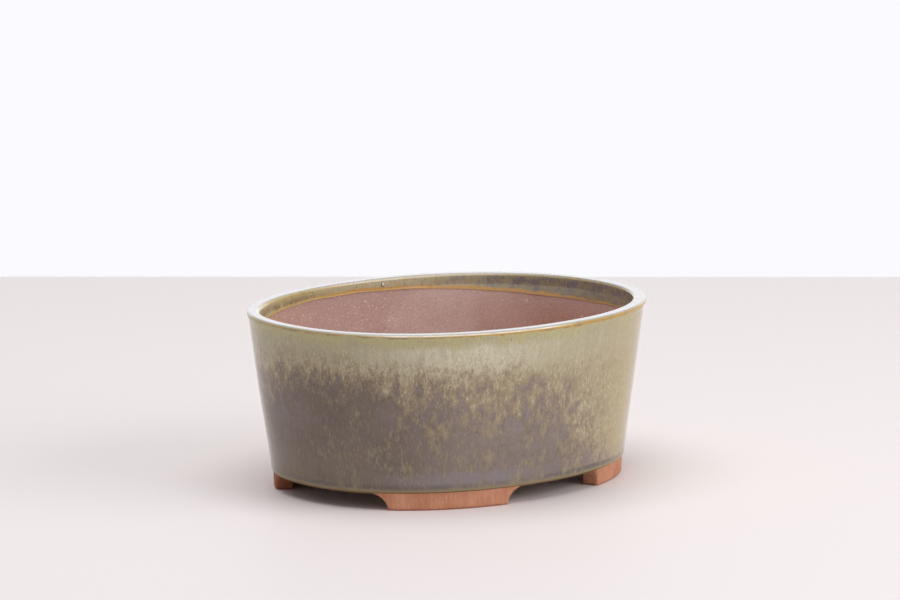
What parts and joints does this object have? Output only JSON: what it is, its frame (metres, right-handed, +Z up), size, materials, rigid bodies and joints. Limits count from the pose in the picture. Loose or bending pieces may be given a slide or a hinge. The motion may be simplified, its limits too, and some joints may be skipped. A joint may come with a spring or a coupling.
{
  "type": "bonsai pot",
  "caption": "Oval bonsai pot: tapered wall with an olive glaze outside and round a flat rim, bare clay inside, drained floor, and curved clay feet with coved ends.",
  "frame": {"origin": "on the table, under the middle of the pot", "axes": "+X along the oval, +Y across it, +Z up"},
  "size_m": [0.17, 0.136, 0.07],
  "materials": {
    "bare_clay": "bare fired clay, fine and matt, with small pale grains",
    "foot_clay": "bare fired clay, orange brown, lightly scraped",
    "olive_glaze": "glossy olive glaze that breaks to mauve brown low on the wall and amber on the edges"
  },
  "bodies": {
    "root": {"floor_slab": "bare_clay", "wall_ring": "bare_clay", "seam_coil": "bare_clay", "rim_ring": "bare_clay", "foot_front_left": "foot_clay", "foot_front_right": "foot_clay", "foot_back_left": "foot_clay", "foot_back_right": "foot_clay", "glaze_coat": "olive_glaze"}
  },
  "joints": []
}
